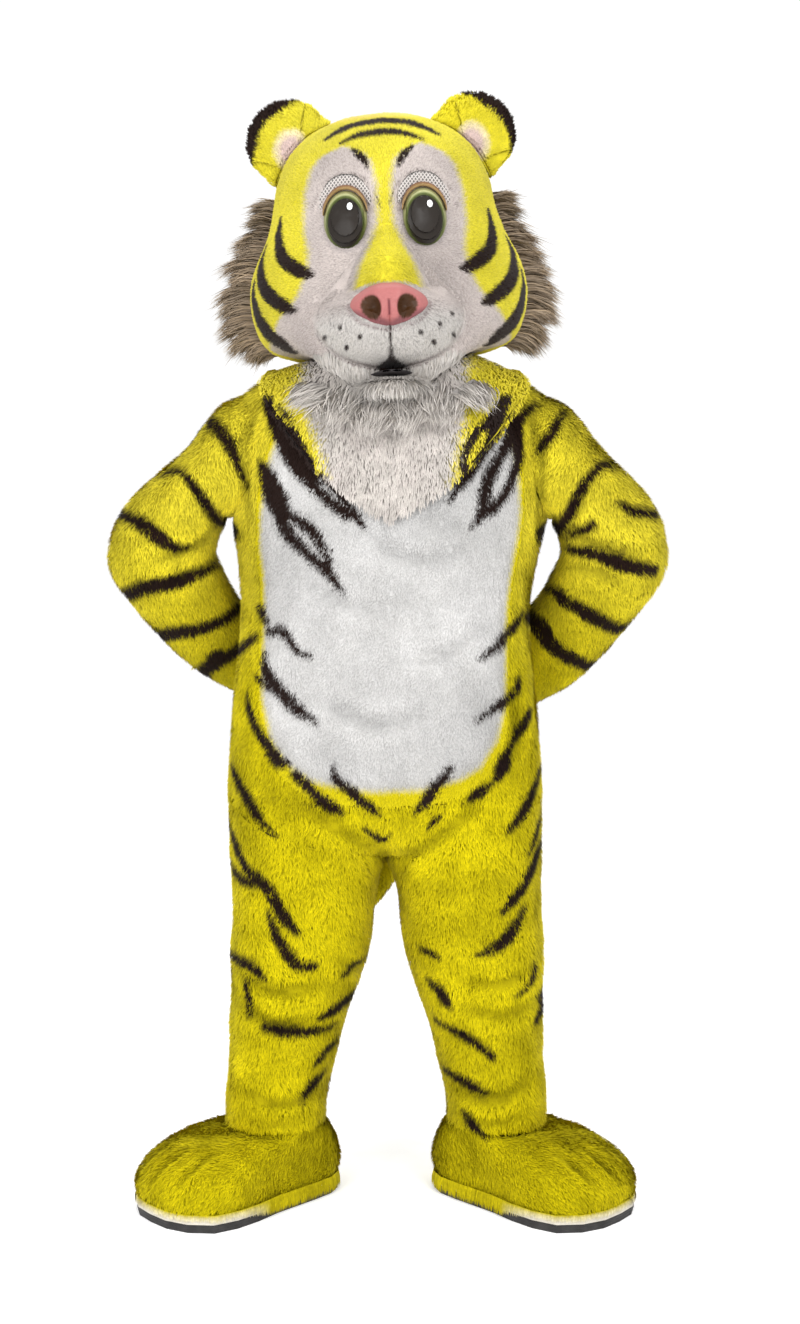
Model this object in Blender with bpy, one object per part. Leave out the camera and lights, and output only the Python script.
"""Tiger mascot costume, worn shape with no wearer: plush suit, mitts, paw feet, tail and shell head.

Metres, +Z up, the front faces -Y. Heights in the tables are above the soles; every object is
lowered by HOLD_HEIGHT, which puts the origin at the middle of the suit's neck opening.
"""
import math

import bpy
import numpy as np
from mathutils.bvhtree import BVHTree

# ---------------------------------------------------------------- driving dimensions
HOLD_HEIGHT = 1.395      # neck opening above the soles
SEAM = 0.0003            # clear gap between sewn pieces
PLUSH = 0.006            # backing cloth and pile of the suit
SHELL = 0.012            # foam and plush of the head

SQUARENESS = 0.88        # under 1 makes the body sections a little boxy

CROTCH = 0.575
GROIN_RISE = 0.125       # the groin seam climbs this far to the side seam
HEM = 0.131              # trouser hem
BELLY_BOTTOM = 0.678
ARMPIT = 1.145
SHOULDER_TIP = 1.357
ARMHOLE_SPREAD = 0.60    # radians of the section on each side of the side seam
ZIP_BOTTOM = 0.80
ZIP_HALF_WIDTH = 0.0065

# Body sections. width: centre line to the outer side. inner: centre line to the inside of the leg,
# below zero where the two halves join. front, back: depths.
BODY_COLUMNS = ("height", "width", "inner", "front", "back")
BODY = (
    (0.100, 0.270, 0.100, 0.098, 0.090),
    (0.150, 0.275, 0.101, 0.098, 0.092),
    (0.200, 0.270, 0.092, 0.100, 0.096),
    (0.250, 0.266, 0.080, 0.104, 0.100),
    (0.300, 0.267, 0.068, 0.110, 0.106),
    (0.350, 0.264, 0.051, 0.117, 0.112),
    (0.395, 0.267, 0.036, 0.122, 0.118),
    (0.440, 0.264, 0.025, 0.128, 0.126),
    (0.500, 0.261, 0.019, 0.137, 0.140),
    (0.550, 0.262, 0.009, 0.145, 0.152),
    (0.575, 0.263, 0.000, 0.149, 0.158),
    (0.620, 0.264, -0.052, 0.156, 0.166),
    (0.680, 0.265, -0.128, 0.166, 0.170),
    (0.740, 0.263, -0.196, 0.176, 0.166),
    (0.800, 0.259, -0.245, 0.184, 0.158),
    (0.860, 0.254, -0.254, 0.189, 0.150),
    (0.930, 0.247, -0.247, 0.190, 0.143),
    (0.990, 0.243, -0.243, 0.187, 0.140),
    (1.050, 0.248, -0.248, 0.182, 0.141),
    (1.110, 0.259, -0.259, 0.174, 0.146),
    (1.170, 0.266, -0.266, 0.165, 0.150),
    (1.230, 0.269, -0.269, 0.155, 0.150),
    (1.290, 0.267, -0.267, 0.142, 0.144),
    (1.330, 0.260, -0.260, 0.128, 0.132),
    (1.355, 0.246, -0.246, 0.114, 0.119),
    (1.372, 0.220, -0.220, 0.101, 0.107),
    (1.384, 0.178, -0.178, 0.089, 0.097),
    (1.391, 0.138, -0.138, 0.079, 0.088),
    (1.395, 0.104, -0.104, 0.071, 0.080),
)

# Sideways lean of the whole suit with height.
LEAN_COLUMNS = ("height", "shift")
LEAN = ((0.0, -0.014), (0.5, -0.012), (0.8, -0.016), (1.1, -0.010), (1.25, 0.0), (1.9, 0.0))

# Edge of the white belly panel: share of the front from centre to side seam.
BELLY_COLUMNS = ("height", "share")
BELLY = (
    (0.678, 0.00), (0.684, 0.17), (0.700, 0.30), (0.730, 0.42), (0.780, 0.52), (0.850, 0.58),
    (0.950, 0.61), (1.060, 0.62), (1.150, 0.60), (1.230, 0.55), (1.300, 0.48), (1.350, 0.46),
    (1.395, 0.46),
)

# Soft folds pressed into or out of the suit: side (-1 right of the wearer, 1 left), face (1 front,
# -1 back), share round the half section, height, half length, half width, lean, depth.
FOLD_COLUMNS = ("side", "face", "share", "height", "length", "width", "lean", "depth")
FOLDS = (
    (-1, 1, 0.50, 0.372, 0.110, 0.020, 0.25, -0.008),
    (-1, 1, 0.62, 0.325, 0.100, 0.022, -0.35, 0.006),
    (-1, 1, 0.40, 0.300, 0.090, 0.018, 0.20, -0.006),
    (-1, 1, 0.80, 0.200, 0.080, 0.016, 0.10, 0.007),
    (-1, 1, 0.30, 0.205, 0.070, 0.018, 0.30, -0.006),
    (1, 1, 0.52, 0.385, 0.110, 0.020, -0.20, -0.008),
    (1, 1, 0.60, 0.340, 0.100, 0.022, 0.30, 0.006),
    (1, 1, 0.35, 0.290, 0.090, 0.018, -0.20, -0.006),
    (1, 1, 0.70, 0.205, 0.080, 0.016, 0.15, 0.006),
    (1, 1, 0.45, 0.230, 0.070, 0.018, 0.30, -0.006),
    (-1, -1, 0.50, 0.380, 0.120, 0.020, 0.10, -0.009),
    (-1, -1, 0.55, 0.330, 0.110, 0.020, -0.25, 0.006),
    (1, -1, 0.50, 0.372, 0.120, 0.020, -0.15, -0.009),
    (1, -1, 0.45, 0.320, 0.110, 0.020, 0.25, 0.006),
    (-1, -1, 0.55, 0.610, 0.120, 0.022, 0.20, -0.008),
    (1, -1, 0.55, 0.615, 0.120, 0.022, 0.15, -0.008),
    (-1, 1, 0.35, 0.655, 0.120, 0.020, 0.70, -0.008),
    (1, 1, 0.35, 0.655, 0.120, 0.020, 0.70, -0.008),
    (-1, 1, 0.30, 0.860, 0.110, 0.024, -0.20, -0.005),
    (1, 1, 0.40, 0.940, 0.120, 0.024, -0.15, -0.005),
    (-1, 1, 0.80, 1.060, 0.090, 0.022, 1.10, -0.006),
    (1, 1, 0.80, 1.060, 0.090, 0.022, 1.10, -0.006),
    (-1, -1, 0.60, 0.960, 0.130, 0.024, 0.15, -0.007),
    (1, -1, 0.60, 0.965, 0.130, 0.024, 0.10, -0.007),
)

# Bent arm: the underside and the top of each ring, and the half thickness across the bend.
ARM_COLUMNS = ("under_x", "under_y", "under_z", "over_x", "over_y", "over_z", "across")
UPPER_ARM = (
    (0.273, 0.000, 1.134, 0.287, 0.000, 1.336, 0.104),
    (0.280, 0.001, 1.121, 0.330, 0.001, 1.284, 0.097),
    (0.284, 0.003, 1.110, 0.378, 0.004, 1.234, 0.091),
    (0.287, 0.006, 1.100, 0.434, 0.010, 1.183, 0.087),
    (0.289, 0.010, 1.090, 0.468, 0.020, 1.108, 0.086),
)
FOREARM = (
    (0.289, 0.010, 1.090, 0.468, 0.020, 1.108, 0.086),
    (0.284, 0.018, 1.073, 0.469, 0.032, 1.057, 0.085),
    (0.270, 0.034, 1.044, 0.443, 0.050, 1.012, 0.081),
    (0.252, 0.058, 1.013, 0.410, 0.074, 0.968, 0.076),
    (0.232, 0.088, 0.985, 0.374, 0.101, 0.925, 0.069),
    (0.212, 0.119, 0.958, 0.334, 0.129, 0.884, 0.060),
)
MITT = (
    (0.212, 0.119, 0.958, 0.334, 0.129, 0.884, 0.060),
    (0.192, 0.142, 0.938, 0.302, 0.150, 0.860, 0.052),
    (0.168, 0.163, 0.920, 0.264, 0.171, 0.840, 0.046),
    (0.142, 0.180, 0.902, 0.224, 0.187, 0.824, 0.042),
    (0.122, 0.192, 0.884, 0.184, 0.197, 0.818, 0.037),
    (0.112, 0.198, 0.866, 0.150, 0.201, 0.820, 0.026),
)
MITT_TIP = (0.118, 0.203, 0.838)
HAND_DROP = {-1: 0.0, 1: 0.022}      # the hand on +X hangs a little lower
ARM_SIDES = 16
SLEEVE_START = 0.012
FINGER_GROOVE = 0.004

# Foot: plan outline in the foot's own frame (forward, to the outer side), turned out by FOOT_TURN.
FOOT_TURN = math.radians(50.0)
FOOT_FORWARD = 0.004
FOOT_PLAN = (
    (-0.112, 0.000), (-0.100, -0.045), (-0.062, -0.074), (0.000, -0.084), (0.062, -0.092),
    (0.130, -0.108), (0.196, -0.104), (0.236, -0.056), (0.244, 0.005), (0.234, 0.062),
    (0.192, 0.104), (0.130, 0.110), (0.062, 0.098), (0.000, 0.086), (-0.062, 0.074),
    (-0.100, 0.045),
)
FOOT_POINTS = 24
SOLE_THICKNESS = 0.014
WELT_THICKNESS = 0.009
FOOT_TOP = 0.124
TOE_DROP = 0.020
COLLAR_LEVELS = (0.12, 0.70)     # shares of the leg's first row of cloth
COLLAR_GAP = 0.0008

# Tail: centre x, y, z and radius.
TAIL = (
    (0.000, 0.170, 0.725, 0.030), (0.001, 0.204, 0.700, 0.033), (0.002, 0.226, 0.660, 0.034),
    (0.003, 0.237, 0.615, 0.034),
    (0.000, 0.240, 0.568, 0.034), (-0.010, 0.238, 0.520, 0.034), (-0.036, 0.233, 0.479, 0.034),
    (-0.075, 0.227, 0.448, 0.034), (-0.115, 0.221, 0.415, 0.034), (-0.146, 0.216, 0.372, 0.034),
    (-0.162, 0.212, 0.322, 0.034), (-0.168, 0.210, 0.270, 0.033), (-0.169, 0.209, 0.222, 0.026),
)
TAIL_TIP_ROW = 10
TAIL_GAP = 0.0012
TAIL_END = 0.020
TAIL_SIDES = 10

# Head sections about HEAD_CENTRE_X: height, half width, front and back depth.
HEAD_CENTRE_X = -0.009
HEAD_TILT = math.radians(-2.5)
HEAD_PIVOT = 1.50
HEAD_COLUMNS = ("height", "width", "front", "back")
HEAD = (
    (1.409, 0.130, 0.158, 0.128),
    (1.418, 0.172, 0.188, 0.160),
    (1.434, 0.204, 0.201, 0.186),
    (1.462, 0.221, 0.212, 0.202),
    (1.500, 0.229, 0.217, 0.212),
    (1.545, 0.225, 0.216, 0.216),
    (1.590, 0.206, 0.212, 0.215),
    (1.635, 0.188, 0.205, 0.208),
    (1.680, 0.180, 0.192, 0.196),
    (1.722, 0.166, 0.172, 0.176),
    (1.758, 0.140, 0.142, 0.146),
    (1.785, 0.102, 0.103, 0.106),
    (1.800, 0.058, 0.058, 0.060),
)
HEAD_TOP = 1.808
HEAD_SPOKES = 28
CHIN_DROP = 0.080        # the front of the neck rim hangs below its sides
CHIN_NARROWNESS = 4.0
CHIN_FADE = 0.120

# Pads on the face: centre across and height, half width, half height, thickness.
PAD_COLUMNS = ("across", "height", "half_width", "half_height", "thickness")
SNOUT_PAD = (0.000, 1.459, 0.120, 0.085, 0.100)
SNOUT_TOP = 1.60         # the bridge runs up between the eyes to here
LOBE = (0.050, 1.428, 0.078, 0.066, 0.090)   # across, height, half width, half height, rise
BRIDGE_RISE = 0.086
BRIDGE_WIDTH = 0.050
BRIDGE_LOW = 1.480       # the bridge is at its full rise down here
CLEFT = 0.012
NOSE_PAD = (0.000, 1.464, 0.058, 0.034, 0.024)
EYE_PAD = (0.062, 1.608, 0.034, 0.046, 0.015)
MOUTH_PAD = (0.000, 1.3675, 0.034, 0.0045, 0.052)
CHIN_PAD = (0.000, 1.3515, 0.056, 0.0100, 0.050)
GLINT_PAD = (0.070, 1.624, 0.0045, 0.0060, 0.0008)
EYE_RINGS = (1.0, 0.86, 0.64, 0.34, 0.0)     # the iris ends at the second, the pupil at the third
IRIS_THICKNESS = 0.0012
PUPIL_THICKNESS = 0.0010
EYE_GAP = 0.0004
PAD_GAP = 0.0004
SNOUT_GAP = 0.0010
PAD_RIM = 0.0015
LID_SHARES = (1.03, 1.17)         # eyelid crescent, in radii of the eye
NET_SHARES = (1.19, 1.60)         # vision net crescent above it
LID_THICKNESS = 0.016
NET_THICKNESS = 0.002

# Ears: outline circle about EAR_CENTRE, standing on the head between two heights.
EAR_CENTRE = (0.152, 1.770)
EAR_RADIUS = 0.070
EAR_HALF_DEPTH = 0.013
EAR_DISH = 0.014
EAR_INNER_SHARE = 0.62
EAR_FOOT = (1.792, 1.700)
EAR_CLEARANCE = 0.0016

# Locks of long fur: rows and columns on each strip, length, and how far each lock turns down.
MANE_BANDS = (2, 8)               # between these rows of the head
MANE_SPOKES = (8.06, 8.94)        # and between these spokes
MANE_LOCKS_PER_BAND = 3
MANE_COLUMNS = 2
MANE_LENGTH = 0.082
STRIP_THICKNESS = 0.003
STRIP_GAP = 0.0008
BEARD_SPOKES = (-3, 3)            # between these spokes of the bib
BEARD_LEVELS = (0.12, 0.48, 0.84)
BEARD_LENGTH = 0.058

# Neck bib: bearing round the neck, its lower edge on the suit (share, height) and face.
BIB_COLUMNS = ("bearing", "share", "height")
BIB_EDGE = (
    (0.0, 0.000, 1.140), (15.0, 0.165, 1.185), (30.0, 0.330, 1.240), (45.0, 0.455, 1.298),
    (60.0, 0.635, 1.350), (75.0, 0.822, 1.372), (90.0, 1.000, 1.3785), (112.0, 0.760, 1.3785),
    (135.0, 0.500, 1.378), (158.0, 0.250, 1.378), (180.0, 0.000, 1.378),
)
BIB_THICKNESS = 0.009
BIB_GAP = 0.0034
BIB_DROP = 0.0004        # the bib is sewn to the head's lower edge
BIB_ROWS = (0.0, 0.28, 0.56, 0.80, 1.0)
BIB_TOP = 1.386          # where the bib meets the suit at the sides of the neck
BIB_TOP_DROP = 0.088     # and how much lower it does so in front

# Back zip.
SLIDER_HEIGHT = 1.336
SLIDER = (0.010, 0.006, 0.014)
PULL = (0.008, 0.0016, 0.030)
PULL_PIN = 0.0008
SLIDER_LIFT = 0.0006

COLOURS = {
    "yellow": (0.62, 0.52, 0.012, 1.0),
    "lemon": (0.88, 0.78, 0.05, 1.0),
    "white": (0.82, 0.80, 0.80, 1.0),
    "off_white": (0.62, 0.58, 0.55, 1.0),
    "mane": (0.22, 0.17, 0.13, 1.0),
    "black": (0.02, 0.015, 0.012, 1.0),
    "rubber": (0.015, 0.015, 0.016, 1.0),
    "pink": (0.75, 0.28, 0.28, 1.0),
    "blush": (0.52, 0.42, 0.40, 1.0),
    "green": (0.22, 0.27, 0.11, 1.0),
    "tan": (0.28, 0.12, 0.05, 1.0),
    "net": (0.45, 0.44, 0.45, 1.0),
    "metal": (0.55, 0.54, 0.52, 1.0),
}
ROUGHNESS = {"pink": 0.25, "green": 0.2, "black": 0.9, "rubber": 0.6, "metal": 0.35}


# ---------------------------------------------------------------- tables and curves
def column(rows, columns, name):
    return np.array([row[columns.index(name)] for row in rows], dtype=float)


def smooth(rows, columns, at, *names):
    """Values of the named columns at one place, on a smooth curve through the table's first column."""
    knots = column(rows, columns, columns[0])
    at = min(max(at, knots[0]), knots[-1])
    k = int(min(max(np.searchsorted(knots, at) - 1, 0), len(knots) - 2))
    span = knots[k + 1] - knots[k]
    t = (at - knots[k]) / span
    out = []
    for name in names:
        v = column(rows, columns, name)
        slopes = np.gradient(v, knots)
        a, b = v[k], v[k + 1]
        step = (b - a) / span
        m0 = limited(slopes[k], step)
        m1 = limited(slopes[k + 1], step)
        out.append((2 * t**3 - 3 * t**2 + 1) * a + (t**3 - 2 * t**2 + t) * span * m0
                   + (-2 * t**3 + 3 * t**2) * b + (t**3 - t**2) * span * m1)
    return out[0] if len(out) == 1 else out


def limited(slope, step):
    """Keep a knot's slope from overshooting a flat or steep neighbour."""
    if slope * step <= 0.0:
        return 0.0
    return math.copysign(min(abs(slope), 3.0 * abs(step)), slope)


def unit(v):
    v = np.asarray(v, dtype=float)
    return v / max(np.linalg.norm(v), 1e-12)


# ---------------------------------------------------------------- the suit's surface
def fold_depth(side, face, share, height):
    depth = 0.0
    for row in FOLDS:
        fold = dict(zip(FOLD_COLUMNS, row))
        if fold["side"] != side or fold["face"] != face:
            continue
        across = (share - fold["share"]) * 0.35
        up = height - fold["height"]
        along = across * math.cos(fold["lean"]) + up * math.sin(fold["lean"])
        over = -across * math.sin(fold["lean"]) + up * math.cos(fold["lean"])
        depth += fold["depth"] * math.exp(-(along / fold["length"])**2 - (over / fold["width"])**2)
    edge = min(share, 1.0 - share) / 0.12
    return depth * min(max(edge, 0.0), 1.0)


def body_base(side, face, share, height):
    width, inner, front, back = smooth(BODY, BODY_COLUMNS, height, "width", "inner", "front", "back")
    centre = max((width + inner) / 2.0, 0.0)
    half = width - centre
    start = math.acos(min((centre / half)**(1.0 / SQUARENESS), 1.0)) if inner < 0.0 else 0.0
    angle = start + share * (math.pi - start)
    c = math.cos(angle)
    x = centre - half * math.copysign(abs(c)**SQUARENESS, c)
    depth = front if face > 0 else back
    y = -face * depth * max(math.sin(angle), 0.0)**SQUARENESS
    return np.array((side * x, y, height))


def lean(height):
    return np.array((smooth(LEAN, LEAN_COLUMNS, height, "shift"), 0.0, 0.0))


def body_normal(side, face, share, height):
    du, dh = 0.004, 0.003
    low_share, high_share = max(share - du, 0.0), min(share + du, 1.0)
    low, high = max(height - dh, BODY[0][0]), min(height + dh, BODY[-1][0])
    along = body_base(side, face, high_share, height) - body_base(side, face, low_share, height)
    up = body_base(side, face, share, high) - body_base(side, face, share, low)
    n = np.cross(along, up) * side * face
    if share < 1e-6 and abs(height - CROTCH) < 1e-6:
        return unit((-0.6 * side, 0.0, -0.8))
    if share < 1e-6 and height > CROTCH:
        n[0] = 0.0
    if share > 1.0 - 1e-6 or (share < 1e-6 and height <= CROTCH):
        n[1] = 0.0
    return unit(n)


def body_point(side, face, share, height, out=0.0):
    n = body_normal(side, face, share, height)
    out = out + fold_depth(side, face, share, height)
    return body_base(side, face, share, height) + n * out + lean(height)


# ---------------------------------------------------------------- walls
def new_object(name, points, faces, colour):
    mesh = bpy.data.meshes.new(name)
    mesh.from_pydata([tuple(p) for p in points], [], faces)
    mesh.update()
    mesh.shade_smooth()
    mesh.set_sharp_from_angle(angle=math.radians(50.0))
    obj = bpy.data.objects.new(name, mesh)
    bpy.context.scene.collection.objects.link(obj)
    material = bpy.data.materials.new(name)
    material.use_nodes = True
    shader = material.node_tree.nodes["Principled BSDF"]
    shader.inputs["Base Color"].default_value = COLOURS[colour]
    shader.inputs["Roughness"].default_value = ROUGHNESS.get(colour, 0.85)
    shader.inputs["Metallic"].default_value = 1.0 if colour == "metal" else 0.0
    mesh.materials.append(material)
    obj.location = (0.0, 0.0, -HOLD_HEIGHT)
    return obj


def volume(points, faces):
    total = 0.0
    for face in faces:
        a = points[face[0]]
        for k in range(1, len(face) - 1):
            total += float(np.dot(a, np.cross(points[face[k]], points[face[k + 1]])))
    return total


def in_triangles(points, faces):
    """Cut each quad along the diagonal that bends it least, or else the shorter one."""
    out = []
    for face in faces:
        if len(face) != 4:
            out.append(face)
            continue
        cuts = []
        for a, b, c, d in (face, face[1:] + face[:1]):
            one = unit(np.cross(points[b] - points[a], points[c] - points[a]))
            two = unit(np.cross(points[c] - points[a], points[d] - points[a]))
            bend = round(float(np.dot(one, two)), 2)
            cuts.append((-bend, float(np.linalg.norm(points[c] - points[a])), [(a, b, c), (a, c, d)]))
        out += min(cuts)[2]
    return out


def solid(name, points, faces, colour):
    """One closed solid, turned right side out."""
    points = [np.asarray(p, dtype=float) for p in points]
    faces = in_triangles(points, faces)
    if volume(points, faces) < 0.0:
        faces = [tuple(reversed(face)) for face in faces]
    return new_object(name, points, faces, colour)


def grid_faces(rows, columns, first, closed, flip):
    faces = []
    for r in range(rows - 1):
        for c in range(columns if closed else columns - 1):
            d = (c + 1) % columns
            quad = (first + r * columns + c, first + r * columns + d,
                    first + (r + 1) * columns + d, first + (r + 1) * columns + c)
            faces.append(tuple(reversed(quad)) if flip else quad)
    return faces


def rim_faces(points, a, b, under_b, under_a):
    """The cut edge between outer points a, b and the inner points under them, as two triangles.

    Both pieces at a seam split it along the same diagonal, from the lower outer point.
    """
    if edge_key(points[a]) < edge_key(points[b]):
        return [(a, b, under_b), (a, under_b, under_a)]
    return [(a, b, under_a), (b, under_b, under_a)]


def edge_key(p):
    return p[2] + 0.37 * p[1] + 0.11 * abs(p[0])


def wall(name, outer, inner, colour, closed=False, tips=None):
    """A cloth wall between two grids of points. closed: the rows are rings. tips: its closed end."""
    rows, columns = len(outer), len(outer[0])
    points = [p for row in outer for p in row] + [p for row in inner for p in row]
    shift = rows * columns
    faces = grid_faces(rows, columns, 0, closed, False)
    faces += grid_faces(rows, columns, shift, closed, True)
    last = (rows - 1) * columns
    for c in range(columns if closed else columns - 1):
        d = (c + 1) % columns
        faces += rim_faces(points, d, c, c + shift, d + shift)
        if tips is None:
            faces += rim_faces(points, last + c, last + d, last + d + shift, last + c + shift)
    if tips is not None:
        points += [tips[0], tips[1]]
        for c in range(columns):
            d = (c + 1) % columns
            faces.append((last + c, last + d, 2 * shift))
            faces.append((last + d + shift, last + c + shift, 2 * shift + 1))
    if not closed:
        for r in range(rows - 1):
            a, b = r * columns, (r + 1) * columns
            faces += rim_faces(points, a, b, b + shift, a + shift)
            a, b = a + columns - 1, b + columns - 1
            faces += rim_faces(points, b, a, a + shift, b + shift)
    return solid(name, points, faces, colour)


def trimmed(grid, left, right, bottom, top):
    """Move a grid's four edges inwards, square to each edge; left may be a list, one per row."""
    rows, columns = len(grid), len(grid[0])
    out = [[np.array(p) for p in row] for row in grid]
    for r in range(rows):
        a = left[r] if isinstance(left, list) else left
        up, down = min(r + 1, rows - 1), max(r - 1, 0)
        out[r][0] += square_to(grid[r][1] - grid[r][0], grid[up][0] - grid[down][0]) * a
        out[r][-1] += square_to(grid[r][-2] - grid[r][-1], grid[up][-1] - grid[down][-1]) * right
    for c in range(columns):
        ahead, behind = min(c + 1, columns - 1), max(c - 1, 0)
        out[0][c] += square_to(grid[1][c] - grid[0][c], grid[0][ahead] - grid[0][behind]) * bottom
        out[-1][c] += square_to(grid[-2][c] - grid[-1][c], grid[-1][ahead] - grid[-1][behind]) * top
    return out


def square_to(direction, edge):
    edge = unit(edge)
    return unit(direction - edge * float(np.dot(direction, edge)))


def body_panel(name, side, face, inner_edge, outer_edge, columns, colour,
               left=SEAM / 2, right=SEAM / 2, bottom=SEAM / 2, top=0.0):
    """A suit panel ruled between two edges, each a list of (share, height)."""
    grids = []
    for out in (0.0, -PLUSH):
        grid = []
        for a, b in zip(inner_edge, outer_edge):
            row = []
            for c in range(columns):
                t = c / (columns - 1)
                share = a[0] + (b[0] - a[0]) * t
                height = a[1] + (b[1] - a[1]) * t
                row.append(body_point(side, face, share, height, out))
            grid.append(row)
        grids.append(trimmed(grid, left, right, bottom, top))
    return wall(name, grids[0], grids[1], colour)


# ---------------------------------------------------------------- suit: panel edges
ARMHOLE_STEPS = 8
SIDE_NAMES = {-1: "right", 1: "left"}


def armhole(step):
    """Share taken from the side seam and height, from the armpit (0) to the shoulder tip."""
    t = math.pi * step / ARMHOLE_STEPS
    middle = (ARMPIT + SHOULDER_TIP) / 2.0
    height = middle - (SHOULDER_TIP - ARMPIT) / 2.0 * math.cos(t)
    return ARMHOLE_SPREAD / (math.pi / 2.0) * math.sin(t), height


SIDE_SEAM_HEIGHTS = (0.700, 0.7025, 0.705, 0.7075, 0.7095, 0.7115, 0.735, 0.765, 0.800, 0.840,
                     0.885, 0.935, 0.990, 1.060)
SHOULDER_HEIGHTS = (1.374, 1.386, 1.395)


def outer_edge():
    edge = [(1.0, h) for h in SIDE_SEAM_HEIGHTS]
    for step in range(ARMHOLE_STEPS + 1):
        taken, height = armhole(step)
        edge.append((1.0 - taken, height))
    edge += [(1.0, h) for h in SHOULDER_HEIGHTS]
    return edge


CENTRE_HEIGHTS = (0.575, 0.618, 0.678)
BELLY_HALF_CELLS = 4
BACK_CELLS = 6
TAIL_SEAT = 4            # points across each back panel, from the spine, that the tail stands on
BELLY_EDGE_HEIGHTS = (0.684, 0.700, 0.730, 0.780, 0.840, 0.905, 0.970, 1.035, 1.095, 1.145,
                      1.190, 1.230, 1.265, 1.295, 1.320, 1.343, 1.360, 1.374, 1.386, 1.395)
BACK_HEIGHTS = (0.575, 0.588, 0.602, 0.618, 0.637, 0.660, 0.690, 0.722, 0.760, 0.800, 0.850,
                0.905, 0.965, 1.030, 1.095, 1.145, 1.190, 1.230, 1.265, 1.295, 1.320, 1.343, 1.360,
                1.374, 1.386, 1.395)
HALF_COLUMNS = 7          # grid columns of a half section's front or back


def belly_share(height):
    return smooth(BELLY, BELLY_COLUMNS, height, "share")


def front_inner_edge():
    edge = [(0.0, h) for h in CENTRE_HEIGHTS]
    low = BELLY_EDGE_HEIGHTS[0]
    for c in range(1, BELLY_HALF_CELLS):
        part = c / BELLY_HALF_CELLS
        edge.append((belly_share(low) * part, BELLY_BOTTOM + (low - BELLY_BOTTOM) * part))
    edge += [(belly_share(h), h) for h in BELLY_EDGE_HEIGHTS]
    return edge


def make_fronts():
    for side in (-1, 1):
        body_panel("front_side_" + SIDE_NAMES[side], side, 1, front_inner_edge(), outer_edge(),
                   HALF_COLUMNS, "yellow")


def make_belly():
    half = BELLY_HALF_CELLS
    bottom, bottom_rise = BELLY_EDGE_HEIGHTS[0], BELLY_EDGE_HEIGHTS[0] - BELLY_BOTTOM
    grids = []
    for out in (0.0, -PLUSH):
        grid = []
        for height in BELLY_EDGE_HEIGHTS:
            row = []
            for c in range(-half, half + 1):
                part = abs(c) / half
                dip = bottom_rise * (1.0 - part) if height == bottom else 0.0
                side = -1 if c < 0 else 1
                row.append(body_point(side, 1, belly_share(height) * part, height - dip, out))
            grid.append(row)
        grids.append(trimmed(grid, SEAM / 2, SEAM / 2, SEAM / 2, 0.0))
    wall("belly_panel", grids[0], grids[1], "white")


def make_backs():
    left = [ZIP_HALF_WIDTH if h >= ZIP_BOTTOM else SEAM / 2 for h in BACK_HEIGHTS]
    inner = [(0.0, h) for h in BACK_HEIGHTS]
    for side in (-1, 1):
        body_panel("back_" + SIDE_NAMES[side], side, -1, inner, outer_edge(), HALF_COLUMNS,
                   "yellow", left=left)


LEG_ROWS = 13


def leg_point(side, face, column, row, out):
    """A grid point of the leg panels, from the hem (row 0) to the groin seam."""
    share = column / (HALF_COLUMNS - 1)
    top = CROTCH + GROIN_RISE * share
    return body_point(side, face, share, HEM + (top - HEM) * row / (LEG_ROWS - 1), out)


def make_legs():
    for side in (-1, 1):
        for face, word in ((1, "front"), (-1, "back")):
            grids = []
            for out in (0.0, -PLUSH):
                grid = [[leg_point(side, face, c, r, out) for c in range(HALF_COLUMNS)]
                        for r in range(LEG_ROWS)]
                grids.append(trimmed(grid, SEAM / 2, SEAM / 2, 0.0, SEAM / 2))
            wall("leg_%s_%s" % (word, SIDE_NAMES[side]), grids[0], grids[1], "yellow")


# ---------------------------------------------------------------- sleeves and mitts
def arm_place(side, x, y, z):
    drop = HAND_DROP[side] * min(max((1.10 - z) / 0.20, 0.0), 1.0)
    return np.array((side * x, y, z - drop)) + lean(z)


def arm_ring(k, side, out):
    """Ring k along the arm. Point 0 is on the underside and a quarter round is the front."""
    rows = UPPER_ARM + FOREARM[1:] + MITT[1:]
    row = dict(zip(ARM_COLUMNS, rows[k]))
    under = arm_place(side, row["under_x"], row["under_y"], row["under_z"])
    over = arm_place(side, row["over_x"], row["over_y"], row["over_z"])
    centre = (under + over) / 2.0
    down = unit(under - centre)
    half = float(np.linalg.norm(under - centre))
    front = np.array((0.0, -1.0, 0.0))
    front = unit(front - down * float(np.dot(front, down)))
    grooves = min(max((k - len(UPPER_ARM) - len(FOREARM) + 2) / 3.0, 0.0), 1.0)
    ring = []
    for s in range(ARM_SIDES):
        t = 2.0 * math.pi * s / ARM_SIDES
        groove = FINGER_GROOVE * grooves * (0.5 - 0.5 * math.cos(8.0 * t)) * abs(math.sin(t))
        ring.append(centre + down * math.cos(t) * (half + out)
                    + front * math.sin(t) * (row["across"] + out - groove))
    return ring


def armhole_ring(side, out):
    """The armhole's edge on the suit, starting at the armpit and running up the front."""
    ring = []
    for step in range(ARMHOLE_STEPS + 1):
        taken, height = armhole(step)
        ring.append(body_point(side, 1, 1.0 - taken, height, out))
    for step in range(ARMHOLE_STEPS - 1, 0, -1):
        taken, height = armhole(step)
        ring.append(body_point(side, -1, 1.0 - taken, height, out))
    return ring


def into_hole(ring, side):
    """Move the armhole's edge towards its own middle, clear of the panels that it is cut in."""
    middle = np.mean(ring, axis=0)
    moved = []
    for p in ring:
        inward = middle - p
        inward[0] = 0.0
        moved.append(p + unit(inward) * SEAM)
    return moved


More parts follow.
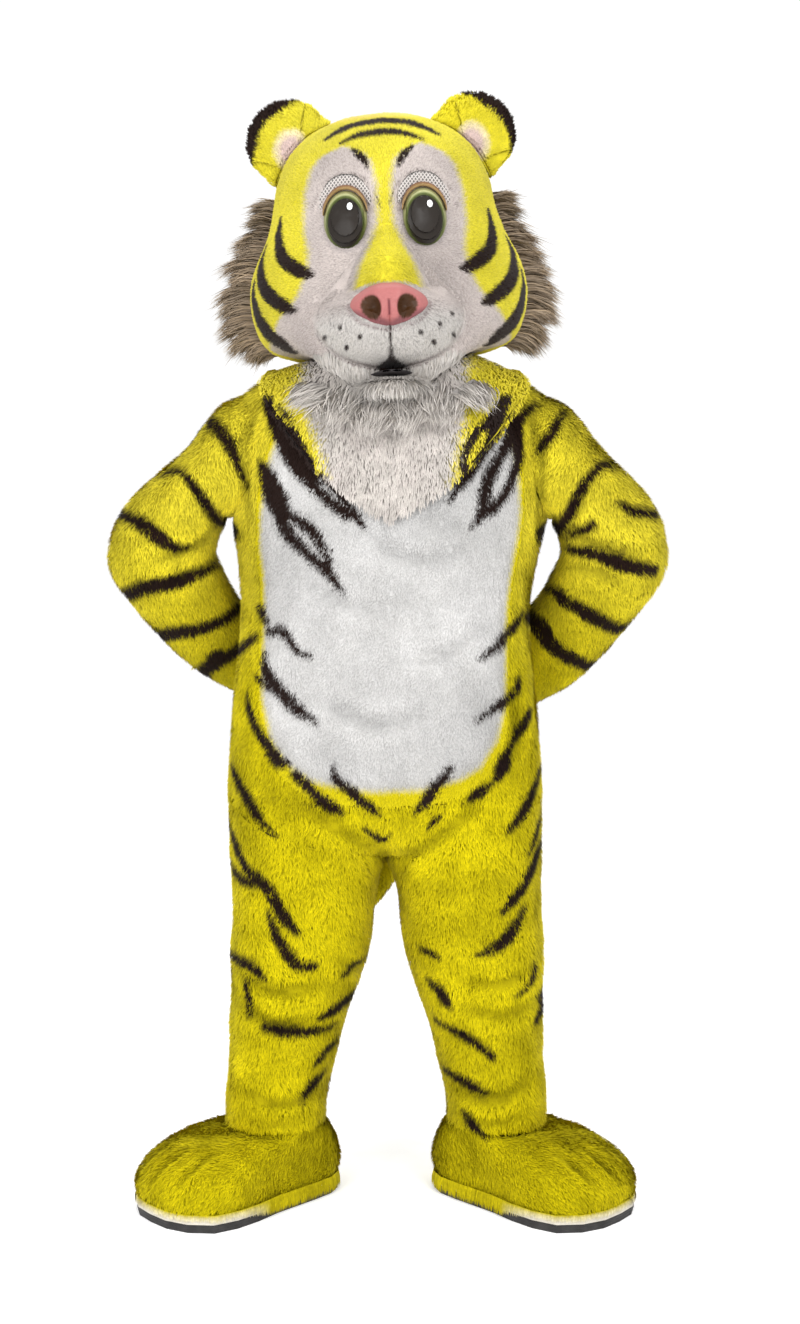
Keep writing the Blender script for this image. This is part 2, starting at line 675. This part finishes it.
def sleeve_start(first, target):
    """Outer and inner rings just past the armhole: square to the suit at the armpit, along the
    sleeve over the shoulder."""
    middle = np.mean(first[0], axis=0)
    outer, inner = [], []
    for c, (p, q, goal) in enumerate(zip(first[0], first[1], target)):
        low = max(math.cos(2.0 * math.pi * c / ARM_SIDES), 0.0)
        normal = unit(p - q)
        inward = middle - p
        inward[0] = 0.0
        step = unit(normal * low + unit(goal - p) * (1.0 - low))
        outer.append(p + step * SLEEVE_START)
        inner.append(outer[-1] + unit(unit(inward) * low - normal * (1.0 - low)) * PLUSH)
    return outer, inner


def moved_apart(rings, start, end):
    """Pull the first and last ring of a tube back from its neighbours' edges."""
    out = [[np.array(p) for p in ring] for ring in rings]
    for c in range(len(rings[0])):
        out[0][c] += unit(rings[1][c] - rings[0][c]) * start
        out[-1][c] += unit(rings[-2][c] - rings[-1][c]) * end
    return out


def make_sleeves():
    upper, fore = len(UPPER_ARM), len(FOREARM)
    for side in (-1, 1):
        name = SIDE_NAMES[side]
        first = [into_hole(armhole_ring(side, out), side) for out in (0.0, -PLUSH)]
        starts = sleeve_start(first, arm_ring(0, side, 0.0))
        grids = []
        for out, ring, start in zip((0.0, -PLUSH), first, starts):
            rings = [ring, start] + [arm_ring(k, side, out) for k in range(upper)]
            grids.append(moved_apart(rings, 0.0, SEAM / 2))
        wall("sleeve_upper_" + name, grids[0], grids[1], "yellow", closed=True)
        grids = []
        for out in (0.0, -PLUSH):
            rings = [arm_ring(k, side, out) for k in range(upper - 1, upper + fore - 1)]
            grids.append(moved_apart(rings, SEAM / 2, SEAM / 2))
        wall("sleeve_fore_" + name, grids[0], grids[1], "yellow", closed=True)
        grids = []
        for out in (0.0, -PLUSH):
            rings = [arm_ring(k, side, out) for k in range(upper + fore - 2, upper + fore + 4)]
            grids.append(moved_apart(rings, SEAM / 2, 0.0))
        tip = arm_place(side, *MITT_TIP)
        inner_tip = tip + unit(np.mean(grids[1][-1], axis=0) - tip) * PLUSH
        wall("mitt_" + name, grids[0], grids[1], "yellow", closed=True, tips=(tip, inner_tip))


# ---------------------------------------------------------------- feet
def foot_outline(side, grow=0.0):
    """The foot's plan as FOOT_POINTS points on a smooth closed curve, in the suit's frame."""
    plan = np.array(FOOT_PLAN)
    count = len(plan)
    points = []
    ankle = np.array((side * 0.187, 0.0)) + lean(0.0)[:2]
    turn = FOOT_TURN
    for k in range(FOOT_POINTS):
        at = k * count / FOOT_POINTS
        i, t = int(at), at - int(at)
        p0, p1, p2, p3 = (plan[(i + j) % count] for j in (-1, 0, 1, 2))
        p = 0.5 * (2 * p1 + (p2 - p0) * t + (2 * p0 - 5 * p1 + 4 * p2 - p3) * t**2
                   + (3 * p1 - p0 - 3 * p2 + p3) * t**3)
        p = p + unit(p - np.array((0.06, 0.0))) * grow
        forward, outer = p[0] + FOOT_FORWARD, p[1]
        x = forward * math.sin(turn) + outer * math.cos(turn)
        y = -forward * math.cos(turn) + outer * math.sin(turn)
        points.append(np.array((ankle[0] + side * x, ankle[1] + y)))
    return points


def collar_ring(side, level, out):
    """Ring of the foot's collar, flat against the inside of the leg panels; level 0 is the hem."""
    corners = []
    for step in range(2 * (HALF_COLUMNS - 1)):
        back = step < HALF_COLUMNS - 1
        column = HALF_COLUMNS - 1 - step if back else step - HALF_COLUMNS + 1
        low = leg_point(side, -1 if back else 1, column, 0, out)
        high = leg_point(side, -1 if back else 1, column, 1, out)
        corners.append(low + (high - low) * level)
    ring = []
    for k, corner in enumerate(corners):
        ring += [corner, (corner + corners[(k + 1) % len(corners)]) / 2.0]
    start = min(range(len(ring)), key=lambda k: abs(heading(ring, k, side) - 0.0))
    return ring[start:] + ring[:start]


def heading(ring, k, side):
    """How far a ring point's bearing is from the foot's heel direction, in radians."""
    offset = ring[k][:2] - np.mean([p[:2] for p in ring], axis=0)
    bearing = math.atan2(-offset[1], side * offset[0])
    heel = math.atan2(-math.cos(FOOT_TURN), -math.sin(FOOT_TURN))
    return (bearing - heel + math.pi) % (2.0 * math.pi) - math.pi


def make_feet():
    low = SOLE_THICKNESS + WELT_THICKNESS + 2 * SEAM
    for side in (-1, 1):
        name = SIDE_NAMES[side]
        prism("sole_" + name, foot_outline(side, 0.002), 0.0, SOLE_THICKNESS, "rubber")
        prism("welt_" + name, foot_outline(side, 0.004), SOLE_THICKNESS + SEAM,
              SOLE_THICKNESS + SEAM + WELT_THICKNESS, "off_white")
        grids = []
        for inset in (0.0, PLUSH):
            rings = []
            base = foot_outline(side, -inset)
            collar = collar_ring(side, 0.0, -PLUSH - COLLAR_GAP - inset)
            for lift, shrink, swell in ((0.0, 0.0, 0.0), (0.30, 0.0, 0.007), (0.60, 0.08, 0.004),
                                        (0.82, 0.28, 0.0), (0.95, 0.58, 0.0), (1.0, 1.0, 0.0)):
                ring = []
                for p, q in zip(base, collar):
                    toe = min(max((-p[1]) / 0.22, 0.0), 1.0)
                    top = FOOT_TOP - TOE_DROP * toe * (1.0 - shrink)
                    plan = p + (q[:2] - p) * shrink + unit(p - q[:2]) * swell
                    height = low + (top - inset * (0.3 + 0.7 * lift) - low) * lift
                    ring.append(np.array((plan[0], plan[1], height)))
                rings.append(ring)
            for level in COLLAR_LEVELS:
                rings.append(collar_ring(side, level, -PLUSH - COLLAR_GAP - inset))
            grids.append(rings)
        wall("foot_upper_" + name, grids[0], grids[1], "yellow", closed=True)


def prism(name, outline, low, high, colour):
    count = len(outline)
    points = [np.array((p[0], p[1], low)) for p in outline]
    points += [np.array((p[0], p[1], high)) for p in outline]
    faces = [tuple(reversed(range(count))), tuple(range(count, 2 * count))]
    for c in range(count):
        d = (c + 1) % count
        faces.append((c, d, d + count, c + count))
    return solid(name, points, faces, colour)


# ---------------------------------------------------------------- tail
def back_depth():
    """How far towards +Y the faceted back stands at (x, z)."""
    grids = []
    for side in (-1, 1):
        rows = [[body_point(side, -1, column / BACK_CELLS, height) for column in range(TAIL_SEAT)]
                for height in BACK_HEIGHTS]
        grids.append([p * np.array((1.0, -1.0, 1.0)) for row in rows for p in row])
    faces = grid_faces(len(BACK_HEIGHTS), TAIL_SEAT, 0, False, False)
    faces += grid_faces(len(BACK_HEIGHTS), TAIL_SEAT, len(grids[0]), False, False)
    return depth_on(grids[0] + grids[1], faces)


def make_tail():
    centres = [np.array(row[:3]) + lean(row[2]) for row in TAIL]
    back = back_depth()
    root = []
    for s in range(TAIL_SIDES):
        t = 2.0 * math.pi * s / TAIL_SIDES
        x = centres[0][0] - TAIL[0][3] * math.cos(t)
        z = centres[0][2] + TAIL[0][3] * math.sin(t)
        root.append(np.array((x, back(x, z) + TAIL_GAP, z)))
    rings = [root]
    for k in range(1, len(TAIL)):
        ahead = unit(centres[min(k + 1, len(TAIL) - 1)] - centres[k - 1])
        across = unit(np.cross((0.0, 1.0, 0.0), ahead))
        outward = np.cross(ahead, across)
        ring = []
        for s in range(TAIL_SIDES):
            t = 2.0 * math.pi * s / TAIL_SIDES
            ring.append(centres[k] + (across * math.cos(t) + outward * math.sin(t)) * TAIL[k][3])
        rings.append(ring)
    tube("tail", moved_apart(rings[:TAIL_TIP_ROW + 1], 0.0, SEAM / 2), "yellow")
    tip = moved_apart(rings[TAIL_TIP_ROW:], SEAM / 2, 0.0)
    tube("tail_tip", tip, "black", np.array((0.0, 0.0, -TAIL_END)))


def tube(name, rings, colour, end_rise=(0.0, 0.0, 0.0)):
    """A stuffed tube through rings of points, closed at both ends."""
    columns = len(rings[0])
    points = [p for ring in rings for p in ring]
    faces = grid_faces(len(rings), columns, 0, True, False)
    first, last = len(points), len(points) + 1
    points += [np.mean(rings[0], axis=0), np.mean(rings[-1], axis=0) + end_rise]
    base = (len(rings) - 1) * columns
    for c in range(columns):
        d = (c + 1) % columns
        faces.append((d, c, first))
        faces.append((base + c, base + d, last))
    return solid(name, points, faces, colour)


# ---------------------------------------------------------------- head
def head_section(angle, height):
    """Point on the head before tilt; angle 0 is the front and a quarter turn is the wearer's left."""
    width, front, back = smooth(HEAD, HEAD_COLUMNS, height, "width", "front", "back")
    c, s = math.cos(angle), math.sin(angle)
    depth = front if c > 0 else back
    fade = max(0.0, 1.0 - (height - HEAD[0][0]) / CHIN_FADE)**2
    drop = CHIN_DROP * max(c, 0.0)**CHIN_NARROWNESS * fade
    return np.array((width * s, -depth * c, height - drop))


def head_normal(angle, height):
    low, high = max(height - 0.003, HEAD[0][0]), min(height + 0.003, HEAD[-1][0])
    around = head_section(angle + 0.02, height) - head_section(angle - 0.02, height)
    up = head_section(angle, high) - head_section(angle, low)
    return unit(np.cross(around, up))


def head_placed(point):
    """Tilt the head to one side about its middle and set it on its centre line."""
    x, y, z = point
    z = z - HEAD_PIVOT
    c, s = math.cos(HEAD_TILT), math.sin(HEAD_TILT)
    return np.array((x * c + z * s + HEAD_CENTRE_X, y, -x * s + z * c + HEAD_PIVOT))


def head_point(angle, height, out=0.0):
    return head_placed(head_section(angle, height) + head_normal(angle, height) * out)


HEAD_ROW_HEIGHTS = tuple(row[0] for row in HEAD)


def make_head():
    for word, first, last in (("front", -7, 7), ("back", 7, 21)):
        grids = []
        for out in (0.0, -SHELL):
            grid = []
            for height in HEAD_ROW_HEIGHTS:
                row = [head_point(2.0 * math.pi * c / HEAD_SPOKES, height, out)
                       for c in range(first, last + 1)]
                grid.append(row)
            top = head_placed((0.0, 0.0, HEAD_TOP + out * 0.98))
            grids.append((trimmed(grid, SEAM / 2, SEAM / 2, 0.0, 0.0), top))
        half_dome("head_" + word, grids, word)


def half_dome(name, grids, word):
    """A half shell: open at the bottom, its seam edges closed, meeting in a short crown edge."""
    (outer, top_out), (inner, top_in) = grids
    nudge = np.array((0.0, -SEAM / 2 if word == "front" else SEAM / 2, 0.0))
    rows, columns = len(outer), len(outer[0])
    points = [p for row in outer for p in row] + [p for row in inner for p in row]
    shift = rows * columns
    points += [top_out + nudge, top_in + nudge]
    tip, under = 2 * shift, 2 * shift + 1
    faces = grid_faces(rows, columns, 0, False, False) + grid_faces(rows, columns, shift, False, True)
    last = (rows - 1) * columns
    for c in range(columns - 1):
        faces.append((c + 1, c, c + shift, c + 1 + shift))
        faces.append((last + c, last + c + 1, tip))
        faces.append((last + c + 1 + shift, last + c + shift, under))
    for r in range(rows - 1):
        a, b = r * columns, (r + 1) * columns
        faces += rim_faces(points, a, b, b + shift, a + shift)
        a, b = a + columns - 1, b + columns - 1
        faces += rim_faces(points, b, a, a + shift, b + shift)
    faces += rim_faces(points, last, tip, under, last + shift)
    faces += rim_faces(points, tip, last + columns - 1, last + columns - 1 + shift, under)
    colour = "lemon" if word == "front" else "yellow"
    return solid(name, points, faces, colour)


def depth_on(points, faces):
    """A function giving how far towards -Y a faceted surface stands at (x, z), before tilt."""
    halves = []
    for face in faces:
        halves.append(face[:3])
        if len(face) == 4:
            halves += [(face[0], face[2], face[3]), (face[0], face[1], face[3]), face[1:]]
    tree = BVHTree.FromPolygons([tuple(p) for p in points], halves)

    def depth(x, z):
        hit = tree.ray_cast((x, -1.0, z), (0.0, 1.0, 0.0))
        return -hit[0].y if hit[0] is not None else depth(x * 0.97, z + (1.50 - z) * 0.03)
    return depth


def head_depth():
    first, last = -7, 7
    points = [head_section(2.0 * math.pi * c / HEAD_SPOKES, height)
              for height in HEAD_ROW_HEIGHTS for c in range(first, last + 1)]
    return depth_on(points, grid_faces(len(HEAD_ROW_HEIGHTS), last - first + 1, 0, False, False))


def seated(places, edges, base):
    """Depths at which a net of straight edges clears the surface under it everywhere."""
    depths = [base(x, z) for x, z in places]
    for _ in range(4):
        for a, b in edges:
            for t in (0.2, 0.4, 0.6, 0.8):
                x = places[a][0] + (places[b][0] - places[a][0]) * t
                z = places[a][1] + (places[b][1] - places[a][1]) * t
                short = base(x, z) - (depths[a] + (depths[b] - depths[a]) * t)
                if short > 0.0:
                    depths[a] += short
                    depths[b] += short
    return depths


def face_edges(faces):
    """Every side and diagonal of a list of faces."""
    return {tuple(sorted((i, j))) for face in faces for i in face for j in face if i != j}


def pad(name, shape, base, rise, colour, rings=4, spokes=16, side=1, outline=None, gap=PAD_GAP):
    """A pad laid on the face; returns the depth of its own front for whatever lies on it."""
    part = dict(zip(PAD_COLUMNS, shape))
    shares = rings if isinstance(rings, tuple) else tuple(k / rings for k in range(rings, -1, -1))
    places, radii = [], []
    for r in shares:
        for s in range(spokes if r else 1):
            t = 2.0 * math.pi * s / spokes
            u, v = (math.cos(t), math.sin(t)) if outline is None else outline(t)
            places.append((side * part["across"] + part["half_width"] * r * u,
                           part["height"] + part["half_height"] * r * v))
            radii.append(r / shares[0])
    shift = len(places)
    grid = grid_faces(len(shares) - 1, spokes, 0, True, False)
    last = shift - 1 - spokes
    front_faces = grid + [(last + c, last + (c + 1) % spokes, shift - 1) for c in range(spokes)]
    depths = seated(places, face_edges(front_faces), base)
    back = [np.array((x, -(d + gap), z)) for (x, z), d in zip(places, depths)]
    front = [p - np.array((0.0, PAD_RIM + rise(r, p[0], p[2]), 0.0)) for p, r in zip(back, radii)]
    faces = front_faces + [tuple(shift + i for i in reversed(f)) for f in front_faces]
    for c in range(spokes):
        d = (c + 1) % spokes
        faces.append((d, c, c + shift, d + shift))
    solid(name, [head_placed(p) for p in front + back], faces, colour)
    return depth_on(front, front_faces)


def dome(shape):
    return lambda r, x, z: shape[4] * (1.0 - min(r, 1.0)**2)**0.5


def snout_outline(t):
    """Wide below, drawn in above to a narrow bridge."""
    up = max(math.sin(t), 0.0)
    tall = (SNOUT_TOP - SNOUT_PAD[1]) / SNOUT_PAD[3]
    return math.cos(t) * (1.0 - 0.55 * up**1.5), math.sin(t) * (1.0 + (tall - 1.0) * up**3)


def snout_rise(r, x, z):
    """Two round cheeks under a bridge that runs up between the eyes."""
    blend = 0.0
    for side in (-1, 1):
        away = ((x - side * LOBE[0]) / LOBE[2])**2 + ((z - LOBE[1]) / LOBE[3])**2
        blend += (LOBE[4] * max(1.0 - away, 0.0)**0.5)**4
    up = min(max((SNOUT_TOP - z) / (SNOUT_TOP - BRIDGE_LOW), 0.0), 1.0)
    low = min(max((z - LOBE[1] + LOBE[3]) / LOBE[3], 0.0), 1.0)
    bridge = BRIDGE_RISE * up * (2.0 - up) * low**0.5 * math.exp(-(x / BRIDGE_WIDTH)**4)
    cleft = CLEFT * math.exp(-(x / 0.011)**2) * min(max((NOSE_PAD[1] - z) / 0.03, 0.0), 1.0)
    fade = 1.0 - min(r, 1.0)**6
    return max(((blend + bridge**4)**0.25 - cleft) * fade, 0.0)


def nose_rise(r, x, z):
    rise = NOSE_PAD[4] * (1.0 - min(r, 1.0)**2.4)**0.6
    for side in (-1, 1):
        away = math.hypot((x - side * 0.023) / 0.012, (z - NOSE_PAD[1] + 0.006) / 0.010)
        rise -= 0.010 * math.exp(-away**2)
    return max(rise, 0.0)


def nose_outline(t):
    """Broad and flat on top, running down to a point."""
    down = max(-math.sin(t), 0.0)
    return math.cos(t) * (1.0 - 0.30 * down**2), math.sin(t) * (0.82 + 0.18 * down)


def crescent(name, side, shares, base, thickness, colour, start=12.0, stop=168.0):
    """A band above the eye between two shares of the eye's radii, laid on the face."""
    columns, rows = 11, 3
    places = []
    for r in range(rows):
        for c in range(columns):
            t = math.radians(start + (stop - start) * c / (columns - 1))
            ends = 0.25 + 0.75 * math.sin(math.pi * c / (columns - 1))**0.5
            reach = shares[0] + (shares[1] - shares[0]) * r / (rows - 1) * ends
            places.append((side * EYE_PAD[0] + EYE_PAD[2] * reach * math.cos(t),
                           EYE_PAD[1] + EYE_PAD[3] * reach * math.sin(t)))
    depths = seated(places, face_edges(grid_faces(rows, columns, 0, False, False)), base)
    front, back = [], []
    for k, ((x, z), depth) in enumerate(zip(places, depths)):
        crown = thickness if k // columns == 1 else thickness * 0.55
        back.append(head_placed((x, -(depth + PAD_GAP), z)))
        front.append(head_placed((x, -(depth + PAD_GAP + crown), z)))
    cut = [slice(r * columns, (r + 1) * columns) for r in range(rows)]
    wall(name, [front[part] for part in cut], [back[part] for part in cut], colour)


def make_face():
    face = head_depth()
    snout = pad("snout", SNOUT_PAD, face, snout_rise, "white", rings=7, spokes=22,
                outline=snout_outline, gap=SNOUT_GAP)
    pad("nose", NOSE_PAD, snout, nose_rise, "pink", rings=5, spokes=16, outline=nose_outline)
    pad("mouth_lining", MOUTH_PAD, face, dome(MOUTH_PAD), "black", rings=2, spokes=10)
    pad("chin", CHIN_PAD, face, dome(CHIN_PAD), "white", rings=3, spokes=14, gap=SNOUT_GAP)
    iris_shape = EYE_PAD[:4] + (IRIS_THICKNESS,)
    pupil_shape = EYE_PAD[:4] + (PUPIL_THICKNESS,)
    for side in (-1, 1):
        name = SIDE_NAMES[side]
        eye = pad("eye_" + name, EYE_PAD, face, dome(EYE_PAD), "white", rings=EYE_RINGS, spokes=14,
                  side=side)
        iris = pad("iris_" + name, iris_shape, eye, flat(iris_shape), "green",
                   rings=EYE_RINGS[1:], spokes=14, side=side, gap=EYE_GAP)
        pupil = pad("pupil_" + name, pupil_shape, iris, flat(pupil_shape), "black",
                    rings=EYE_RINGS[2:], spokes=14, side=side, gap=EYE_GAP)
        glint = (side * 0.008 + EYE_PAD[0],) + GLINT_PAD[1:]
        pad("glint_" + name, glint, pupil, flat(GLINT_PAD), "white", rings=1, spokes=8, side=side)
        crescent("eyelid_" + name, side, LID_SHARES, face, LID_THICKNESS, "tan")
        crescent("vision_net_" + name, side, NET_SHARES, face, NET_THICKNESS, "net", 22.0, 158.0)


def flat(shape):
    return lambda r, x, z: shape[4]


# ---------------------------------------------------------------- ears
def make_ears():
    for side in (-1, 1):
        name = SIDE_NAMES[side]
        ear_wall("ear_" + name, side, 1.0, 0.0, "yellow")
        ear_wall("ear_inner_" + name, side, EAR_INNER_SHARE, 1.0, "blush")


def ear_place(side, s, t, face):
    """A point of the ear: s runs from the inner to the outer edge, t from the head to the rim."""
    low = EAR_FOOT[0] + (EAR_FOOT[1] - EAR_FOOT[0]) * s
    seat = head_section(math.pi / 2.0, low) + head_normal(math.pi / 2.0, low) * EAR_CLEARANCE
    foot = seat[[0, 2]]
    start, stop = 2.62, -0.98
    turn = start + (stop - start) * s
    rim = np.array(EAR_CENTRE) + EAR_RADIUS * np.array((math.cos(turn), math.sin(turn)))
    x, z = foot + (rim - foot) * t
    middle = math.sin(math.pi * s)**0.7 * math.sin(math.pi * min(t, 1.0) * 0.78 + 0.15)
    thin = EAR_HALF_DEPTH * (1.0 - 0.55 * t**3)
    if face > 0:
        y = -thin + EAR_DISH * middle
    else:
        y = thin + EAR_DISH * 0.7 * middle
    return np.array((side * x, y, z))


def ear_wall(name, side, share, lift, colour):
    columns, rows = 9, 5
    front, back = [], []
    for r in range(rows):
        front_row, back_row = [], []
        for c in range(columns):
            s, t = c / (columns - 1), r / (rows - 1)
            if lift:
                s, t = 0.5 + (s - 0.5) * share * (0.72 + 0.28 * t), 0.10 + 0.68 * t
            p = ear_place(side, s, t, 1)
            q = ear_place(side, s, t, -1)
            if lift:
                q, p = p + np.array((0.0, -0.0009, 0.0)), p + np.array((0.0, -0.0030, 0.0))
            front_row.append(head_placed(p))
            back_row.append(head_placed(q))
        front.append(front_row)
        back.append(back_row)
    wall(name, front, back, colour)


# ---------------------------------------------------------------- long fur
def lock_strip(name, outer, inner, aim, length, colour):
    """A backing strip with one tapering four-sided lock drawn out of each outer face."""
    rows, columns = len(outer), len(outer[0])
    points = [p for row in outer for p in row] + [p for row in inner for p in row]
    shift = rows * columns
    faces = grid_faces(rows, columns, shift, False, True)
    for c in range(columns - 1):
        faces.append((c + 1, c, c + shift, c + 1 + shift))
        base = (rows - 1) * columns + c
        faces.append((base, base + 1, base + 1 + shift, base + shift))
    for r in range(rows - 1):
        a, b = r * columns, (r + 1) * columns
        faces.append((a, b, b + shift, a + shift))
        a, b = a + columns - 1, b + columns - 1
        faces.append((b, a, a + shift, b + shift))
    for r in range(rows - 1):
        for c in range(columns - 1):
            corners = (r * columns + c, r * columns + c + 1,
                       (r + 1) * columns + c + 1, (r + 1) * columns + c)
            add_lock(points, faces, corners, *aim(r, c, points, corners), length(r, c))
    return solid(name, points, faces, colour)


def add_lock(points, faces, corners, start_aim, end_aim, length):
    ring = corners
    centre = np.mean([points[i] for i in corners], axis=0)
    base = [points[i] - centre for i in corners]
    for share, taper in ((0.30, 0.66), (0.68, 0.40)):
        middle = centre + lock_reach(start_aim, end_aim, share) * length
        first = len(points)
        points += [middle + b * taper for b in base]
        fresh = tuple(range(first, first + 4))
        for k in range(4):
            m = (k + 1) % 4
            faces.append((ring[k], ring[m], fresh[m], fresh[k]))
        ring = fresh
    tip = len(points)
    points.append(centre + lock_reach(start_aim, end_aim, 1.0) * length)
    for k in range(4):
        faces.append((ring[k], ring[(k + 1) % 4], tip))


def lock_reach(start_aim, end_aim, share):
    """A lock leaves along its first aim and bends over to the second."""
    return start_aim * (share - 0.5 * share**2) + end_aim * (0.5 * share**2)


def spread(k, reach):
    """A repeatable unevenness between -reach and reach."""
    return reach * math.sin(12.9898 * k + 4.1)


def head_facet(spoke, row, side, out):
    """A point on the faceted head between its spokes and rows."""
    s0, r0 = int(spoke), min(int(row), len(HEAD) - 2)
    a, b = spoke - s0, row - r0
    corners = [[head_point(side * 2.0 * math.pi * (s0 + i) / HEAD_SPOKES, HEAD[r0 + j][0], out)
                for i in (0, 1)] for j in (0, 1)]
    low = corners[0][0] * (1.0 - a) + corners[0][1] * a
    high = corners[1][0] * (1.0 - a) + corners[1][1] * a
    return low * (1.0 - b) + high * b


def make_mane():
    first, last = MANE_BANDS
    rows = (last - first) * MANE_LOCKS_PER_BAND + 1
    for side in (-1, 1):
        grids = []
        for out in (STRIP_THICKNESS + STRIP_GAP, STRIP_GAP):
            grid = []
            for r in range(rows):
                row = []
                for c in range(MANE_COLUMNS + 1):
                    spoke = MANE_SPOKES[0] + (MANE_SPOKES[1] - MANE_SPOKES[0]) * c / MANE_COLUMNS
                    row.append(head_facet(spoke, first + r / MANE_LOCKS_PER_BAND, side, out))
                grid.append(row)
            grids.append(grid)

        def aim(r, c, points, corners):
            height = r / (rows - 2)
            start = unit((side * 1.0, 0.25 + 0.5 * c, 0.10 + 0.35 * height))
            down = -1.15 + 0.75 * height + spread(r * 3 + c + side, 0.15)
            end = unit((side * (0.75 + 0.15 * height), 0.20 + 0.45 * c + spread(r + 7 * c, 0.12), down))
            return start, end

        def length(r, c):
            middle = math.sin(math.pi * (r + 0.5) / (rows - 1))
            return MANE_LENGTH * (0.62 + 0.38 * middle + spread(5 * r + c + side, 0.10))

        lock_strip("mane_" + SIDE_NAMES[side], grids[0], grids[1], aim, length, "mane")


# ---------------------------------------------------------------- neck bib
def bib_target(bearing, share_down):
    """Side, face, share and height on the suit, from the bib's top meeting line to its edge."""
    side = 1 if bearing >= 0.0 else -1
    size = abs(bearing)
    face = 1 if size <= 90.0 else -1
    from_middle = size / 90.0 if face > 0 else (180.0 - size) / 90.0
    share, height = smooth(BIB_EDGE, BIB_COLUMNS, size, "share", "height")
    front = max(math.cos(math.radians(size)), 0.0)**2.5
    top = BIB_TOP - BIB_TOP_DROP * front
    return (side, face, from_middle + (share - from_middle) * share_down,
            top + (height - top) * share_down)


def bib_ring(row, out):
    """One ring of the bib: row 0 is its seam on the head's lower edge, the last its hanging edge."""
    ring = []
    for k in range(HEAD_SPOKES):
        turn = 2.0 * math.pi * k / HEAD_SPOKES
        if row == 0:
            rim, above = head_point(turn, HEAD[0][0]), head_point(turn, HEAD[1][0])
            beside = head_point(turn + 0.02, HEAD[0][0]) - head_point(turn - 0.02, HEAD[0][0])
            up = unit(above - rim)
            ring.append(rim + up * (out - BIB_GAP) + unit(np.cross(beside, up)) * BIB_DROP)
            continue
        bearing = math.degrees(turn) if turn <= math.pi else math.degrees(turn) - 360.0
        side, face, share, height = bib_target(bearing, BIB_ROWS[row - 1])
        ring.append(body_point(side, face, share, height, out))
    return ring


def make_bib():
    grids = [[bib_ring(row, out) for row in range(len(BIB_ROWS) + 1)]
             for out in (BIB_GAP + BIB_THICKNESS, BIB_GAP)]
    wall("neck_bib", grids[0], grids[1], "off_white", closed=True)


def make_beard():
    """Locks under the chin, on a strip laid over the top of the bib."""
    first, last = BEARD_SPOKES
    grids = []
    for out in (STRIP_THICKNESS + STRIP_GAP, STRIP_GAP):
        top = bib_ring(0, BIB_GAP + BIB_THICKNESS)
        low = bib_ring(1, BIB_GAP + BIB_THICKNESS)
        forward = np.array((0.0, -out, 0.0))
        grids.append([[top[k] * (1.0 - level) + low[k] * level + forward
                       for k in range(first, last + 1)] for level in BEARD_LEVELS])

    def aim(r, c, points, corners):
        turn = (c - 3.5) * 0.16
        start = unit((turn + spread(c + 3 * r, 0.10), -0.90, -0.30))
        end = unit((turn * 0.6 + spread(c * 2 + r, 0.10), -0.18, -1.0))
        return start, end

    def length(r, c):
        return BEARD_LENGTH * (0.85 + 0.15 * math.sin(math.pi * (c + 0.5) / 8.0) + spread(c + r, 0.08))

    lock_strip("beard", grids[0], grids[1], aim, length, "white")


# ---------------------------------------------------------------- back zip
def back_centre(height, out):
    return body_point(1, -1, 0.0, height, out)


def make_zip():
    heights = [h for h in BACK_HEIGHTS if h >= ZIP_BOTTOM]
    half = ZIP_HALF_WIDTH - SEAM
    grids = []
    for out in (-0.0020, -0.0044):
        grid = []
        for height in heights:
            p = back_centre(height, out)
            grid.append([p + np.array((side * half, 0.0, 0.0)) for side in (-1, 0, 1)])
        grids.append(grid)
    wall("zip_tape", grids[0], grids[1], "black")
    seat = back_centre(SLIDER_HEIGHT, -0.0020)
    top, low = back_centre(SLIDER_HEIGHT + 0.01, -0.002), back_centre(SLIDER_HEIGHT - 0.01, -0.002)
    along = unit(top - low)
    out = unit(np.cross((1.0, 0.0, 0.0), along))
    if out[1] < 0.0:
        out = -out
    block("zip_slider", seat + out * (SLIDER_LIFT + SLIDER[1] / 2), along, out, SLIDER, "metal")
    pin = seat + out * (SLIDER_LIFT + SLIDER[1] + SLIDER_LIFT + PULL[1] / 2)
    block("zip_pull", pin - along * (PULL[2] / 2 - PULL_PIN), along, out, PULL, "metal")


def block(name, centre, along, out, size, colour):
    """A small block: its width along X, its depth along out and its height along along."""
    across = np.array((1.0, 0.0, 0.0))
    points = []
    for z in (-0.5, 0.5):
        for x, y in ((-0.5, -0.5), (0.5, -0.5), (0.5, 0.5), (-0.5, 0.5)):
            points.append(centre + across * size[0] * x + out * size[1] * y + along * size[2] * z)
    faces = [(3, 2, 1, 0), (4, 5, 6, 7), (0, 1, 5, 4), (1, 2, 6, 5), (2, 3, 7, 6), (3, 0, 4, 7)]
    return solid(name, points, faces, colour)


OBJECT_MAKERS = (make_fronts, make_belly, make_backs, make_legs, make_sleeves, make_feet, make_tail,
                 make_zip, make_head, make_face, make_ears, make_mane, make_bib, make_beard)


def main():
    for obj in list(bpy.data.objects):
        bpy.data.objects.remove(obj, do_unlink=True)
    for make in OBJECT_MAKERS:
        make()


main()
